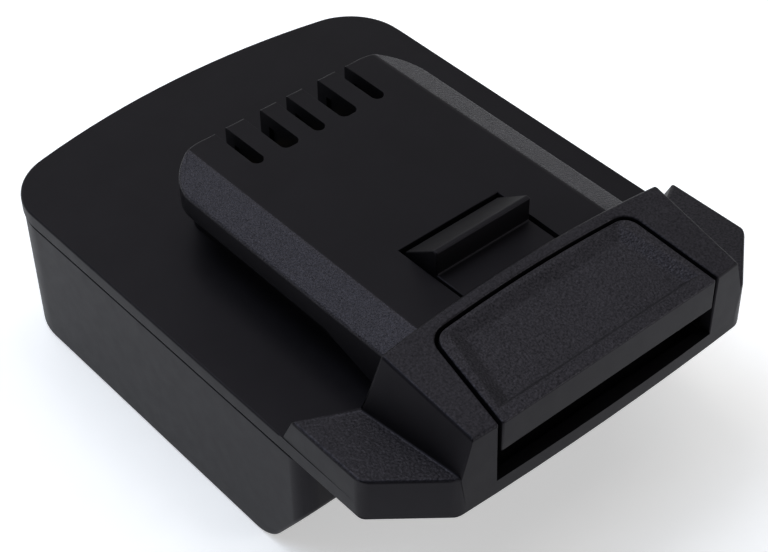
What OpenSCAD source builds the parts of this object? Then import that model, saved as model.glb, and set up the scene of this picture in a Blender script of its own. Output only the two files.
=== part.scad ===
// Tool battery adapter: a receiver for a slide battery pack below, and above it a tool rail with
// five terminal slots and a sprung release latch. Millimetres, +Z up, the tool slides on from +Y,
// the release button is at -Y, and the origin is under the middle of the whole adapter.

/* [Housing] */
// Width over the cover plate
body_w = 76; // [72:0.5:84]
// Overall length, from the front edge of the nose to the crest of the bowed rear wall
body_l = 102.8; // [101:0.1:112]
// Overhang of the nose in front of the lower housing
nose_l = 22; // [21.4:0.1:26]
// Length of the slope under the front of the lower housing
front_cut_l = 9.1; // [8.6:0.1:10]
// Height of that slope
front_cut_h = 12.9; // [11.4:0.1:13.4]
// Radius at the foot of that slope
front_cut_r = 6.5; // [4:0.5:8]
// Height of the lower housing, up to the parting line
case_h = 24.2; // [23.6:0.1:28]
// Thickness of the cover plate
plate_t = 2.7; // [2.3:0.1:4]
// Wall thickness of the two mouldings
wall = 2.2; // [1.8:0.1:2.6]
// Radius of the bowed rear edge, seen from above
rear_bow_r = 138; // [110:1:220]
// Radius of the rear corners, seen from above
rear_corner_r = 11; // [9.5:0.5:12]
// Radius of the front corners of the lower housing
front_corner_r = 3; // [2.6:0.1:4]
// How far the lower housing stands back inside the cover's edge
case_inset = 0.2; // [0.1:0.1:0.7]
// Height of the shadow gap at the parting line
seam_h = 0.5; // [0.2:0.1:0.8]
// Depth of the shadow gap at the parting line
seam_d = 0.8; // [0.4:0.1:1.2]
// Height of the cover's locating rib inside the lower housing
locating_rib_h = 2; // [1:0.1:3]
// Thickness of the cover's locating rib
locating_rib_t = 1.2; // [0.8:0.1:1.6]

/* [Nose and crown] */
// Radius of the bowed front edge, seen from above
nose_bow_r = 600; // [400:10:900]
// Width of each cut front corner
nose_cut_w = 10; // [8:0.1:11]
// Length of each cut front corner
nose_cut_l = 8.4; // [7:0.1:10]
// Length of the crown, from the front edge to the middle of its highest edge
crown_l = 19.3; // [18.8:0.1:19.8]
// Radius of the crown's bowed rear edge, seen from above
crown_bow_r = 240; // [200:10:400]
// Height of the crown's highest edge over the cover plate
crown_h = 14.7; // [14.4:0.02:15]
// Height of the crown's front edge over the cover plate
crown_front_h = 11.06; // [10.8:0.02:11.6]
// Width of the crown along its highest edge
crown_w = 53.2; // [51:0.1:55]
// Width of the crown along its front edge
crown_front_w = 51.4; // [49.6:0.1:52.4]
// Width of the crown where its rear corners meet the wings
crown_base_w = 58.8; // [57:0.1:60]
// How far the crown's rear wall leans back from its highest edge down to the wings
crown_lean = 1.45; // [0.8:0.05:2]
// Height of the wings over the cover plate
wing_h = 4.95; // [4:0.05:6]
// Step of the wings inside the cover's edge
wing_inset = 0.25; // [0.15:0.05:0.6]
// Length of the wings' outer sides, from the front edge of the nose
wing_l = 23.6; // [22:0.1:25]
// Angle of the wings' rear edges, seen from above
wing_angle = 29.9; // [20:0.1:36]
// Slope of the wings' rear faces, as run over the wings' height
wing_run = 2.1; // [1:0.1:3]

/* [Tool rail] */
// Height of the rail over the cover plate
rail_h = 12.6; // [12:0.1:13]
// Width over the rail's flanges
rail_w = 48; // [46:0.1:50]
// Width of the rail's flat top
rail_top_w = 37.15; // [34:0.05:39]
// Height of the upright side of the flanges
rail_side_h = 3.9; // [3:0.1:4.5]
// Drop of the shallow bevel along the rail's top edges
rail_bevel_h = 2.2; // [1.6:0.1:2.6]
// Width of the rail's neck under the flanges
neck_w = 41; // [39.6:0.1:42]
// Distance from the crest of the rear wall to the rail's rear edge
rail_setback = 30; // [29:0.1:31]
// Radius of the rail's rear corners
rail_corner_r = 8; // [6:0.5:10]
// Length of the wedges under the flanges that stop the tool
wedge_l = 13.7; // [8:0.1:16]
// Drop of those wedges at the crown
wedge_h = 4; // [2:0.1:5]

/* [Terminal slots] */
// Distance of the power slots from the middle
power_x = 5.8; // [5.5:0.1:6.1]
// Distance of the outer signal slots from the middle
signal_x = 12; // [11.7:0.1:12.6]
// Width of the power slots
power_slot_w = 3.2; // [3:0.1:3.6]
// Width of the signal slots
signal_slot_w = 2.1; // [1.8:0.1:2.3]
// Length of the slots in the rail's flat top
slot_l = 10.4; // [8:0.1:11]
// Depth of the slots where they open at the rail's rear
slot_depth = 10; // [8:0.1:10.4]
// Sheet thickness of the clips
clip_t = 0.5; // [0.4:0.05:0.6]
// Gap between the clip's leaves where they grip
clip_grip = 0.6; // [0.4:0.05:0.8]
// Depth of the clips' upper edges under the rail's top
clip_drop = 5.4; // [4:0.1:6]
// Wall of the terminal block around each clip
block_wall = 1.3; // [1:0.1:1.8]

/* [Release latch] */
// Width of the button's pocket at the front
pocket_w = 42.6; // [41.6:0.1:43.6]
// Width of the button's pocket at the rear
pocket_rear_w = 38.4; // [37.8:0.1:39.6]
// Radius of the pocket's bowed rear edge, seen from above
pocket_bow_r = 260; // [200:10:400]
// Width of the rim between the crown's highest edge and the pocket
pocket_rim = 2; // [1.8:0.1:2.4]
// Radius of the pocket's rear corners
pocket_corner_r = 3.2; // [2.8:0.1:4]
// Gap round the button
button_gap = 0.55; // [0.3:0.05:0.6]
// Height of the button's front face
button_front_h = 5.5; // [4.6:0.1:5.8]
// Thickness of the button's skin
button_t = 1.75; // [1.5:0.05:2]
// Depth of the dish in the button
dish_d = 0.7; // [0.4:0.05:0.9]
// Width of the dish's slopes at its sides and rear
dish_slope = 2.2; // [1.4:0.1:2.6]
// Width of the dish's slope at its front
dish_front_slope = 0.6; // [0.4:0.1:1.2]
// Width of the flat border behind the dish, at its corners
dish_back = 0.55; // [0.5:0.05:1]
// Width of the lip in front of the dish
dish_lip = 1.75; // [1.4:0.05:2.4]
// Width of the flat border beside the dish's rear corners
dish_border = 2; // [1.8:0.1:2.4]
// Width of the flat border beside the dish's front corners
dish_front_border = 1; // [0.8:0.1:2]
// Travel of the latch
latch_travel = 4.2; // [4.05:0.05:4.4]
// Width of the hook
hook_w = 18.2; // [15:0.1:19]
// Height of the hook over the rail's top
hook_h = 3.95; // [3.5:0.05:4]
// Length of the hook, from its upright face to the foot of its slope
hook_l = 6.7; // [6:0.1:7.5]
// Width of the hook's flat crest
hook_crest = 0.8; // [0.4:0.1:1.2]
// Distance from the crown's foot to the hook's upright face
hook_setback = 6.5; // [5.8:0.1:7]
// Gap on each side of the hook
hook_gap = 0.6; // [0.4:0.05:0.9]
// Gap behind the hook
hook_rear_gap = 0.7; // [0.4:0.05:1]
// How far the latch plate lies under the rail's top
latch_sink = 0.2; // [0.1:0.05:0.3]
// Thickness of the latch arm
arm_t = 4.3; // [3.6:0.1:4.6]
// Thickness of the rail's top in front of the hook, over the latch arm
bridge_t = 0.9; // [0.7:0.05:1.1]

/* [Springs] */
// Outside diameter of the latch springs
spring_d = 6; // [5:0.1:7]
// Wire of the latch springs
spring_wire = 0.6; // [0.5:0.05:0.65]
// Turns of the latch springs
spring_turns = 6; // [5:1:6]
// Gap between the springs and the button's side skirts
spring_side_gap = 0.7; // [0.5:0.1:3]
// Distance of the springs from the front edge
spring_y = 11; // [10:0.5:11.5]
// Length of the spring pegs
peg_l = 2; // [1.5:0.1:2.2]

/* [Battery receiver] */
// Width of the receiver between its side walls
channel_w = 57; // [55:0.5:57.4]
// Width of the receiver's mouth between its two rails
mouth_w = 48; // [46:0.5:50]
// Height of the receiver's rails
lip_h = 5.2; // [4.6:0.1:6]
// Height of the receiver, up to the underside of its deck
channel_h = 14.5; // [14:0.1:15]
// Thickness of the deck over the receiver
deck_t = 2; // [1.6:0.1:2.2]
// Depth of the receiver, from the front ends of its rails to its end wall
channel_l = 54.3; // [53:0.1:55]
// Width of the catch window in the deck
catch_w = 18; // [14:0.5:22]
// Length of the catch window in the deck
catch_l = 6; // [4.5:0.1:8]
// Distance of the catch window from the front ends of the receiver's rails
catch_y = 4.3; // [3.5:0.1:6]
// Thickness of the floor that closes the nose from below
shelf_t = 2; // [1.6:0.1:2.2]

/* [Battery terminals] */
// Width of the blade carrier
carrier_w = 34; // [31:0.5:38]
// Height of the blade carrier's foot over the underside
carrier_z = 3; // [2.6:0.1:3.4]
// Height of the blade carrier
carrier_h = 12.5; // [12:0.1:12.6]
// Thickness of the blade carrier's front flange
carrier_front_t = 3; // [2.4:0.1:4]
// Thickness of the blade carrier's rear flange
carrier_rear_t = 2; // [1.6:0.1:2.2]
// How far each flange of the blade carrier laps the end wall
carrier_lap = 2; // [1.2:0.1:3]
// Distance of the power blades from the middle
blade_x = 9.75; // [8.5:0.05:10]
// Thickness of the blades
blade_t = 0.8; // [0.6:0.05:1]
// Height of the power blades
blade_h = 6.3; // [5:0.1:6.5]
// Height of the signal blade
signal_blade_h = 4; // [3:0.1:5]
// Height of the blades' middle over the underside
blade_z = 8.5; // [8:0.1:9]
// Free length of the blades in the receiver
blade_l = 12; // [10:0.5:13]
// Length of the blades' solder tails
tail_l = 6.5; // [6:0.1:7]
// Distance of the carrier's hold-down ribs from the middle
hold_rib_x = 5; // [4:0.5:7]
// Thickness of the carrier's hold-down ribs
hold_rib_t = 2; // [1.6:0.1:2.4]
// Diameter of the power leads
lead_d = 2.8; // [2.4:0.1:2.9]
// Diameter of the signal lead
signal_lead_d = 1.4; // [1:0.1:1.8]

/* [Circuit board] */
// Width of the circuit board
board_w = 35; // [33.6:0.1:35.4]
// Length of the circuit board
board_l = 25; // [23:0.5:27]
// Thickness of the circuit board
board_t = 1.6; // [1.2:0.1:1.8]
// Height of the circuit board's underside over the parting line
board_lift = 0.2; // [0:0.1:0.8]
// Diameter of the posts under the circuit board
post_d = 5; // [4.6:0.1:5.6]

/* [Screws] */
// Diameter of the housing screws
screw_d = 3; // [2.5:0.1:3.2]
// Diameter of the housing screws' heads
screw_head_d = 5.4; // [4.8:0.1:5.6]
// Height of the housing screws' heads
screw_head_h = 2; // [1.6:0.1:2.4]
// Length of the housing screws under the head
screw_l = 18; // [16:0.5:19]
// Depth of the housing screws' seats over the underside
screw_seat = 4; // [3:0.1:4.4]
// Diameter of the screw bosses
boss_d = 6.4; // [6.2:0.1:6.6]
// Distance of the front screws from the front ends of the receiver's rails
screw_y = 6.5; // [6:0.1:8]
// Diameter of the board screws
board_screw_d = 2.2; // [2:0.1:2.6]
// Length of the board screws under the head
board_screw_l = 6; // [5:0.5:6.5]

/* [Clearances] */
// Running clearance between pieces that move past each other
run_gap = 0.4; // [0.3:0.05:0.5]
// Clearance between fixed mouldings
fit_gap = 0.25; // [0.15:0.05:0.3]
// Clearance of metal pieces in their seats
seat_gap = 0.05; // [0.03:0.01:0.1]

/* [Hidden] */
$fn = 48;
// Reach of a cut past the faces that it opens
past = 1;
// How far round corners stand past a bowed edge, so that the two cross instead of only touching
corner_lap = 0.002;

// Heights
plate_z = case_h + plate_t;
rail_z = plate_z + rail_h;
flange_top_z = rail_z - rail_bevel_h;
flange_z = flange_top_z - rail_side_h;
crown_z = plate_z + crown_h;
wing_z = plate_z + wing_h;
shelf_z = case_h + shelf_t;
deck_z = channel_h + deck_t;
board_z = case_h + board_lift;
board_top_z = board_z + board_t;
cavity_z = rail_z - wall;

// Places along the adapter
y_rear = body_l / 2;
y_front = -y_rear;
case_y = y_front + nose_l;
lip_y = case_y + front_cut_l;
rail_y = y_rear - rail_setback;
cavity_y = rail_y - wall;
crown_y = y_front + crown_l;
crown_lean_angle = atan2(crown_lean, crown_z - wing_z);
crown_foot_y = crown_y + (crown_z - rail_z) * tan(crown_lean_angle);
pocket_y = crown_y - pocket_rim;
hook_y = crown_foot_y + hook_setback;
hook_tail_y = hook_y + hook_l;
hook_opening_y = crown_foot_y + fit_gap;
channel_y = lip_y + channel_l;
end_wall_y = channel_y + wall;

// Crown: the sloped top, and the two leaning sides as planes through three of their corners
crown_slope = atan2(crown_h - crown_front_h, crown_l);
crown_sag = sag(crown_bow_r, crown_w / 2);
crown_base_sag = sag(crown_bow_r, crown_base_w / 2);
crown_corner = [crown_w / 2, crown_y - crown_sag, crown_z - crown_sag * tan(crown_slope)];
crown_front_corner = [crown_front_w / 2, y_front, plate_z + crown_front_h];
crown_base_corner = [crown_base_w / 2, crown_y - crown_base_sag + crown_lean, wing_z];
crown_cross = cross(crown_front_corner - crown_corner, crown_base_corner - crown_corner);
crown_normal = crown_cross / norm(crown_cross);
crown_toe = asin(crown_normal[1]);
crown_tilt = -asin(crown_normal[2] / cos(crown_toe));

// Button's pocket: the taper of its sides, and the centre of its round rear corners, which touch
// a tapered side and the bowed rear edge
pocket_taper = atan2((pocket_w - pocket_rear_w) / 2, pocket_y - y_front);
pocket_arc_y = pocket_y - pocket_bow_r;
pocket_corner_reach = pocket_bow_r - pocket_corner_r;
pocket_side = pocket_rear_w / 2 * cos(pocket_taper) + pocket_y * sin(pocket_taper) - pocket_corner_r;
pocket_corner_b = pocket_side * sin(pocket_taper) + pocket_arc_y * pow(cos(pocket_taper), 2);
pocket_corner_q = pow(pocket_side, 2)
    + (pow(pocket_arc_y, 2) - pow(pocket_corner_reach, 2)) * pow(cos(pocket_taper), 2);
pocket_corner_y = pocket_corner_b + sqrt(pow(pocket_corner_b, 2) - pocket_corner_q);
pocket_corner_x = (pocket_side - pocket_corner_y * sin(pocket_taper)) / cos(pocket_taper);

// Button
button_y = y_front + run_gap / 2;
button_ceiling_z = plate_z + crown_front_h - dish_d - button_t;
button_skirt_z = shelf_z + latch_travel + run_gap;
button_front_z = plate_z + crown_front_h - button_front_h;
latch_z = rail_z - latch_sink;
arm_z = latch_z - arm_t;
bridge_z = rail_z - bridge_t;

// Nose cavity and the rail's cavity, which the nose floor closes
nose_cavity_w = pocket_w + 2 * run_gap;
rail_cavity_w = neck_w - 2 * wall;
nose_cavity_rear_y = pocket_y + 2 * run_gap;

// Springs stand between the nose floor and the button
spring_place_y = y_front + spring_y;
skirt_inset = button_gap + button_t;
skirt_half_w = pocket_half_w(spring_place_y, skirt_inset);
spring_x = skirt_half_w - spring_side_gap - spring_d / 2;
spring_free_h = button_ceiling_z - shelf_z - 2 * seat_gap;
peg_d = spring_d - 2 * spring_wire - 2 * run_gap;

// Screws: the front pair in the side walls, the rear pair in the centres of the rear corners
case_half_w = body_w / 2 - case_inset;
screw_x = case_half_w - wall - fit_gap - boss_d / 2;
rear_screw_r = rear_corner_r - case_inset;
rear_screw_x = case_half_w - rear_screw_r;
rear_screw_y = corner_y(case_half_w, y_rear - case_inset, rear_bow_r - case_inset, rear_screw_r);
screw_places = [
    [-screw_x, lip_y + screw_y], [screw_x, lip_y + screw_y],
    [-rear_screw_x, rear_screw_y], [rear_screw_x, rear_screw_y]
];

// Circuit board and its posts
board_y = cavity_y - fit_gap - board_l;
post_x = board_w / 2 - post_d / 2 - fit_gap;
post_share = 0.55;
post_ys = [board_y + post_d / 2 + fit_gap, board_y + board_l * post_share];
board_screw_head_d = 2 * board_screw_d;
board_screw_head_h = 0.7 * board_screw_d;
board_hole_d = board_screw_d + 2 * seat_gap;

// Terminal block behind the slots
block_y = rail_y - slot_l - block_wall;
block_l = cavity_y - fit_gap - block_y;
block_w = 2 * (signal_x + signal_slot_w / 2 + clip_t + seat_gap + block_wall);
block_top_z = cavity_z - fit_gap;
clip_top_z = rail_z - clip_drop;
clip_foot_z = rail_z - slot_depth;
clip_grip_share = 0.62;

// Blade carrier and leads
carrier_front_y = channel_y - seat_gap - carrier_front_t;
carrier_rear_y = end_wall_y + seat_gap + carrier_rear_t;
carrier_waist_w = carrier_w - 2 * carrier_lap;
lead_bend_r = 2 * lead_d;
tail_y = carrier_rear_y + tail_l;
lead_rise_y = tail_y - lead_d;
blade_tip_l = 1.5 * blade_t;
blade_tip_t = blade_t / 3;

// Height of an arc over its chord's half width
function sag(r, half_w) = r - sqrt(r * r - half_w * half_w);

// Half width of the button's pocket at a place along it, drawn in by inset
function pocket_half_w(y, inset) =
    pocket_rear_w / 2 + (pocket_y - y) * tan(pocket_taper) - inset / cos(pocket_taper);

// Place of a corner circle that touches a straight side and a bowed edge
function corner_y(half_w, y_end, bow_r, r) =
    y_end - bow_r + sqrt(pow(bow_r - r, 2) - pow(half_w - r, 2));

// Solid swept along X, from a profile drawn in Y and Z
module along_x(width) {
    rotate([90, 0, 90])
        linear_extrude(width, center = true)
            children();
}

module mirrored_x() {
    for (side = [0, 1])
        mirror([side, 0, 0])
            children();
}

// Plan with straight sides, a bowed rear edge, round rear corners and round front corners
module bowed_plan(half_w, y_start, y_end, bow_r, r, front_r) {
    cx = half_w - r;
    cy = corner_y(half_w, y_end, bow_r, r) + corner_lap;
    bow_y = y_end - bow_r;
    reach = (bow_r + past) / (bow_r - r);
    out_x = cx * reach;
    out_y = bow_y + (cy - bow_y) * reach;
    translate([-half_w, y_start + front_r])
        square([2 * half_w, cy - y_start - front_r]);
    translate([-half_w + front_r, y_start])
        square([2 * (half_w - front_r), cy - y_start]);
    for (side = [-1, 1]) {
        translate([side * cx, cy])
            circle(r);
        translate([side * (half_w - front_r), y_start + front_r])
            circle(front_r);
    }
    intersection() {
        translate([0, bow_y])
            circle(bow_r, $fn = 720);
        polygon([[-cx, cy - r], [-cx, cy], [-out_x, out_y], [-out_x, y_end + r],
                 [out_x, y_end + r], [out_x, out_y], [cx, cy], [cx, cy - r]]);
    }
}

// Plan of the lower housing, drawn in by inset
module case_plan(inset) {
    bowed_plan(case_half_w - inset, case_y + inset, y_rear - case_inset - inset,
               rear_bow_r - case_inset - inset, rear_corner_r - case_inset - inset,
               max(front_corner_r - inset, seam_h));
}

// Plan of the nose with its cut corners and bowed front edge, drawn in by inset at its sides
module nose_plan(inset) {
    half_w = body_w / 2 - inset;
    front_half_w = body_w / 2 - nose_cut_w;
    front_y = y_front + sag(nose_bow_r, front_half_w);
    cut_y = front_y + nose_cut_l + inset;
    overrun = 1.5;
    end_x = half_w + overrun * (front_half_w - half_w);
    end_y = cut_y + overrun * (front_y - cut_y);
    intersection() {
        polygon([[-half_w, lip_y], [half_w, lip_y], [half_w, cut_y], [end_x, end_y],
                 [-end_x, end_y], [-half_w, cut_y]]);
        translate([0, y_front + nose_bow_r])
            circle(nose_bow_r, $fn = 720);
    }
}

// Plan of the rail, with round rear corners
module rail_plan(width, r) {
    translate([-width / 2, pocket_y])
        square([width, rail_y - r - pocket_y]);
    translate([-width / 2 + r, pocket_y])
        square([width - 2 * r, rail_y - pocket_y]);
    for (side = [-1, 1])
        translate([side * (width / 2 - r), rail_y - r])
            circle(r);
}

// Plan of the button's pocket, drawn in by inset, with its front edge at y_end
module pocket_plan(inset, y_end) {
    r = pocket_corner_r - inset;
    cx = pocket_corner_x;
    cy = pocket_corner_y;
    side_x = cx + r * cos(pocket_taper);
    side_y = cy + r * sin(pocket_taper);
    reach = (pocket_bow_r - inset + past) / pocket_corner_reach;
    out_x = cx * reach;
    out_y = pocket_arc_y + (cy - pocket_arc_y) * reach;
    front_half_w = pocket_half_w(y_end, inset);
    polygon([[-cx, cy], [cx, cy], [side_x, side_y], [front_half_w, y_end],
             [-front_half_w, y_end], [-side_x, side_y]]);
    for (side = [-1, 1])
        translate([side * (cx + corner_lap), cy + corner_lap])
            circle(r);
    intersection() {
        translate([0, pocket_arc_y])
            circle(pocket_bow_r - inset, $fn = 720);
        polygon([[-cx, cy], [-out_x, out_y], [-out_x, pocket_y + past],
                 [out_x, pocket_y + past], [out_x, out_y], [cx, cy]]);
    }
}

// Half space under the crown's sloped top, lowered by drop
module under_crown_slope(drop) {
    reach = body_w;
    translate([0, crown_y, crown_z - drop])
        rotate([crown_slope, 0, 0])
            translate([-reach / 2, -reach / 2, -reach])
                cube(reach);
}

// Crown block: sloped top, bowed front, bowed rear wall that leans back, leaning sides
module crown() {
    reach = body_w;
    difference() {
        intersection() {
            under_crown_slope(0);
            translate([0, 0, case_h])
                linear_extrude(rail_h + plate_t + crown_h)
                    nose_plan(wing_inset);
            translate([0, crown_y, crown_z])
                rotate([crown_lean_angle, 0, 0])
                    translate([0, -crown_bow_r, -reach])
                        cylinder(r = crown_bow_r, h = 2 * reach, $fn = 720);
        }
        mirrored_x()
            translate(crown_corner)
                rotate([0, crown_tilt, 0])
                    rotate([0, 0, crown_toe])
                        translate([0, -reach / 2, -reach / 2])
                            cube(reach);
    }
}

// Wings on both sides of the crown, with sloped rear faces
module wings() {
    reach = body_w;
    mirrored_x()
        difference() {
            translate([0, 0, plate_z - past])
                linear_extrude(wing_h + past)
                    intersection() {
                        nose_plan(wing_inset);
                        translate([0, y_front - past])
                            square([body_w / 2, lip_y - y_front + past]);
                    }
            translate([body_w / 2 - wing_inset, y_front + wing_l, wing_z])
                rotate([0, 0, wing_angle])
                    rotate([atan2(wing_run, wing_h), 0, 0])
                        translate([-reach, 0, -reach / 2])
                            cube([2 * reach, reach, reach]);
        }
}

// Rail: neck, flanges with a shallow bevel along the top, and the wedges that stop the tool
module rail() {
    neck_corner_r = rail_corner_r - (rail_w - neck_w) / 2;
    head_h = rail_z - flange_z;
    translate([0, 0, case_h])
        linear_extrude(flange_top_z - case_h)
            rail_plan(neck_w, neck_corner_r);
    intersection() {
        translate([0, 0, flange_z])
            linear_extrude(head_h + past)
                rail_plan(rail_w, rail_corner_r);
        translate([0, rail_y + past, 0])
            rotate([90, 0, 0])
                linear_extrude(rail_y - pocket_y + 2 * past)
                    polygon([[-rail_w / 2 - past, flange_z - past], [rail_w / 2 + past, flange_z - past],
                             [rail_w / 2 + past, flange_top_z], [rail_w / 2, flange_top_z],
                             [rail_top_w / 2, rail_z], [-rail_top_w / 2, rail_z],
                             [-rail_w / 2, flange_top_z], [-rail_w / 2 - past, flange_top_z]]);
    }
    along_x(rail_w)
        polygon([[crown_foot_y + wedge_l, flange_z], [crown_foot_y, flange_z - wedge_h],
                 [pocket_y, flange_z - wedge_h], [pocket_y, flange_z]]);
}

// One terminal slot with a round front end, open at the rail's rear
module slot_cut(width) {
    r = signal_slot_w / 2;
    y_start = rail_y - slot_l;
    translate([0, 0, rail_z - slot_depth])
        linear_extrude(slot_depth + past) {
            translate([-width / 2, y_start + r])
                square([width, rail_y + past - y_start - r]);
            if (width > 2 * r)
                translate([-width / 2 + r, y_start])
                    square([width - 2 * r, rail_y + past - y_start]);
            for (side = [-1, 1])
                translate([side * (width / 2 - r), y_start + r])
                    circle(r);
        }
}

module five_slots() {
    for (x = [-signal_x, 0, signal_x])
        translate([x, 0, 0])
            slot_cut(signal_slot_w);
    for (x = [-power_x, power_x])
        translate([x, 0, 0])
            slot_cut(power_slot_w);
}

// Space inside the nose, from below up to the crown's skin
module nose_cavity() {
    intersection() {
        under_crown_slope(wall);
        translate([-nose_cavity_w / 2, y_front + wall, case_h - past])
            cube([nose_cavity_w, nose_cavity_rear_y - y_front - wall, crown_h + plate_t]);
    }
}

// Opening for the hook in the rail's top, and the way for its arm under the crown's rim
module hook_cuts() {
    width = hook_w + 2 * hook_gap;
    y_end = hook_tail_y + hook_rear_gap;
    translate([-width / 2, hook_opening_y, cavity_z - past])
        cube([width, y_end - hook_opening_y, wall + 2 * past]);
    translate([-width / 2, pocket_y - past, flange_z])
        cube([width, y_end - pocket_y + past, bridge_z - flange_z]);
}

// Boss under the cover plate that takes a housing screw
module cover_boss() {
    translate([0, 0, deck_z])
        difference() {
            cylinder(d = boss_d, h = case_h + plate_t / 2 - deck_z);
            translate([0, 0, -past])
                cylinder(d = screw_d + 2 * seat_gap, h = screw_seat + screw_l - deck_z + 2 * past);
        }
}

module locating_rib() {
    translate([0, 0, case_h - locating_rib_h])
        linear_extrude(locating_rib_h + plate_t / 2)
            difference() {
                case_plan(wall + fit_gap);
                case_plan(wall + fit_gap + locating_rib_t);
            }
}

// Ribs under the cover plate that hold the blade carrier down
module hold_down_ribs() {
    rib_z = carrier_z + carrier_h + seat_gap;
    mirrored_x()
        translate([hold_rib_x - hold_rib_t / 2, carrier_rear_y - carrier_rear_t, rib_z])
            cube([hold_rib_t, carrier_rear_t, case_h + plate_t / 2 - rib_z]);
}

module upper_cover() {
    color("#2b2b2e") {
        difference() {
            union() {
                translate([0, 0, case_h])
                    linear_extrude(plate_t) {
                        bowed_plan(body_w / 2, lip_y - past, y_rear, rear_bow_r, rear_corner_r, 0);
                        nose_plan(0);
                    }
                rail();
                crown();
                wings();
            }
            translate([-rail_cavity_w / 2, pocket_y, case_h - past])
                cube([rail_cavity_w, cavity_y - pocket_y, cavity_z - case_h + past]);
            nose_cavity();
            translate([0, 0, plate_z])
                linear_extrude(crown_h + past)
                    pocket_plan(0, y_front - past);
            hook_cuts();
            five_slots();
        }
        for (place = screw_places)
            translate(place)
                cover_boss();
        locating_rib();
        hold_down_ribs();
    }
}

// Space in front of the slope under the lower housing's front, drawn back by inset
module front_cut(inset) {
    slope = atan2(front_cut_h, front_cut_l);
    shift = inset / sin(slope);
    reach = front_cut_l + past;
    run = front_cut_r * tan(slope / 2);
    steps = 8;
    along_x(2 * body_w)
        translate([lip_y + shift, 0])
            polygon(concat(
                [[run, -past], [run, 0]],
                [for (i = [1:steps])
                    [run - front_cut_r * sin(i * slope / steps),
                     front_cut_r * (1 - cos(i * slope / steps))]],
                [[-reach, reach * tan(slope)], [-reach, -past]]));
}

// Outer walls and floor of the lower housing
module tub() {
    difference() {
        linear_extrude(case_h)
            case_plan(0);
        difference() {
            translate([0, 0, wall])
                linear_extrude(case_h)
                    case_plan(wall);
            front_cut(wall);
        }
        translate([0, 0, case_h - seam_h])
            linear_extrude(seam_h + past)
                difference() {
                    case_plan(-past);
                    case_plan(seam_d);
                }
    }
}

// Floor that closes the nose from below and carries the latch springs
module nose_floor() {
    nose_w = nose_cavity_w - 2 * fit_gap;
    neck = rail_cavity_w - 2 * fit_gap;
    y_start = y_front + wall + fit_gap;
    y_step = nose_cavity_rear_y - fit_gap;
    translate([0, 0, case_h]) {
        linear_extrude(shelf_t) {
            translate([-nose_w / 2, y_start])
                square([nose_w, y_step - y_start]);
            translate([-neck / 2, y_start])
                square([neck, case_y + wall - y_start]);
        }
        for (side = [-1, 1])
            translate([side * spring_x, spring_place_y, 0])
                cylinder(d = peg_d, h = shelf_t + peg_l);
    }
}

// Receiver's walls and deck, before its space is cut out
module receiver_block() {
    width = channel_w + 2 * wall;
    translate([-width / 2, case_y, 0])
        cube([width, channel_y + wall - case_y, deck_z]);
    for (place = screw_places)
        translate(place)
            cylinder(d = boss_d, h = deck_z);
    for (x = [-post_x, post_x], y = post_ys)
        translate([x, y, channel_h])
            cylinder(d = post_d, h = board_z - channel_h);
}

// Space that the battery pack's rail slides into, from the front and from below
module receiver_space() {
    depth = channel_y - case_y + past;
    translate([-mouth_w / 2, case_y - past, -past])
        cube([mouth_w, depth, channel_h + past]);
    translate([-channel_w / 2, case_y - past, lip_h])
        cube([channel_w, depth, channel_h - lip_h]);
}

// Notch for the blade carrier in the end wall and deck
module carrier_notch() {
    waist = carrier_waist_w + 2 * seat_gap;
    mouth = carrier_w + 2 * fit_gap;
    translate([-waist / 2, channel_y - past, carrier_z])
        cube([waist, wall + 2 * past, deck_z]);
    translate([-mouth / 2, carrier_front_y - fit_gap, channel_h - past])
        cube([mouth, channel_y - carrier_front_y + fit_gap, deck_t + 2 * past]);
}

module lower_housing() {
    color("#242426")
        difference() {
            union() {
                tub();
                receiver_block();
                nose_floor();
            }
            front_cut(0);
            receiver_space();
            carrier_notch();
            translate([-catch_w / 2, lip_y + catch_y, channel_h - past])
                cube([catch_w, catch_l, deck_t + 2 * past]);
            for (place = screw_places)
                translate([place[0], place[1], -past]) {
                    cylinder(d = screw_d + 2 * fit_gap, h = deck_z + 2 * past);
                    cylinder(d = screw_head_d + 2 * fit_gap, h = screw_seat + past);
                }
            for (x = [-post_x, post_x])
                translate([x, post_ys[0], board_top_z - board_screw_l - past])
                    cylinder(d = board_hole_d, h = board_screw_l + past);
        }
}

// Dish in the button: a shallow frustum along the crown's slope, drawn as deep over it as under it
module dish_cut() {
    y_start = button_y + dish_lip;
    rear_half_w = pocket_half_w(pocket_y, button_gap) - dish_border;
    front_half_w = pocket_half_w(y_start, button_gap) - dish_front_border;
    y_end = pocket_y - button_gap - sag(pocket_bow_r, rear_half_w) - dish_back;
    spread = (front_half_w - rear_half_w) / (y_end - y_start);
    points = [
        for (level = [-1, 1])
            let (y_low = y_start - level * dish_front_slope,
                 y_high = y_end + level * dish_slope,
                 low_x = rear_half_w + (y_end - y_low) * spread + level * dish_slope,
                 high_x = rear_half_w + (y_end - y_high) * spread + level * dish_slope)
            each [[-low_x, y_low, level * dish_d], [low_x, y_low, level * dish_d],
                  [high_x, y_high, level * dish_d], [-high_x, y_high, level * dish_d]]
    ];
    translate([0, crown_y, crown_z])
        rotate([crown_slope, 0, 0])
            translate([0, -crown_y, 0])
                polyhedron(points, [[0, 1, 2, 3], [7, 6, 5, 4], [0, 4, 5, 1], [1, 5, 6, 2],
                                    [2, 6, 7, 3], [3, 7, 4, 0]]);
}

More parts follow.
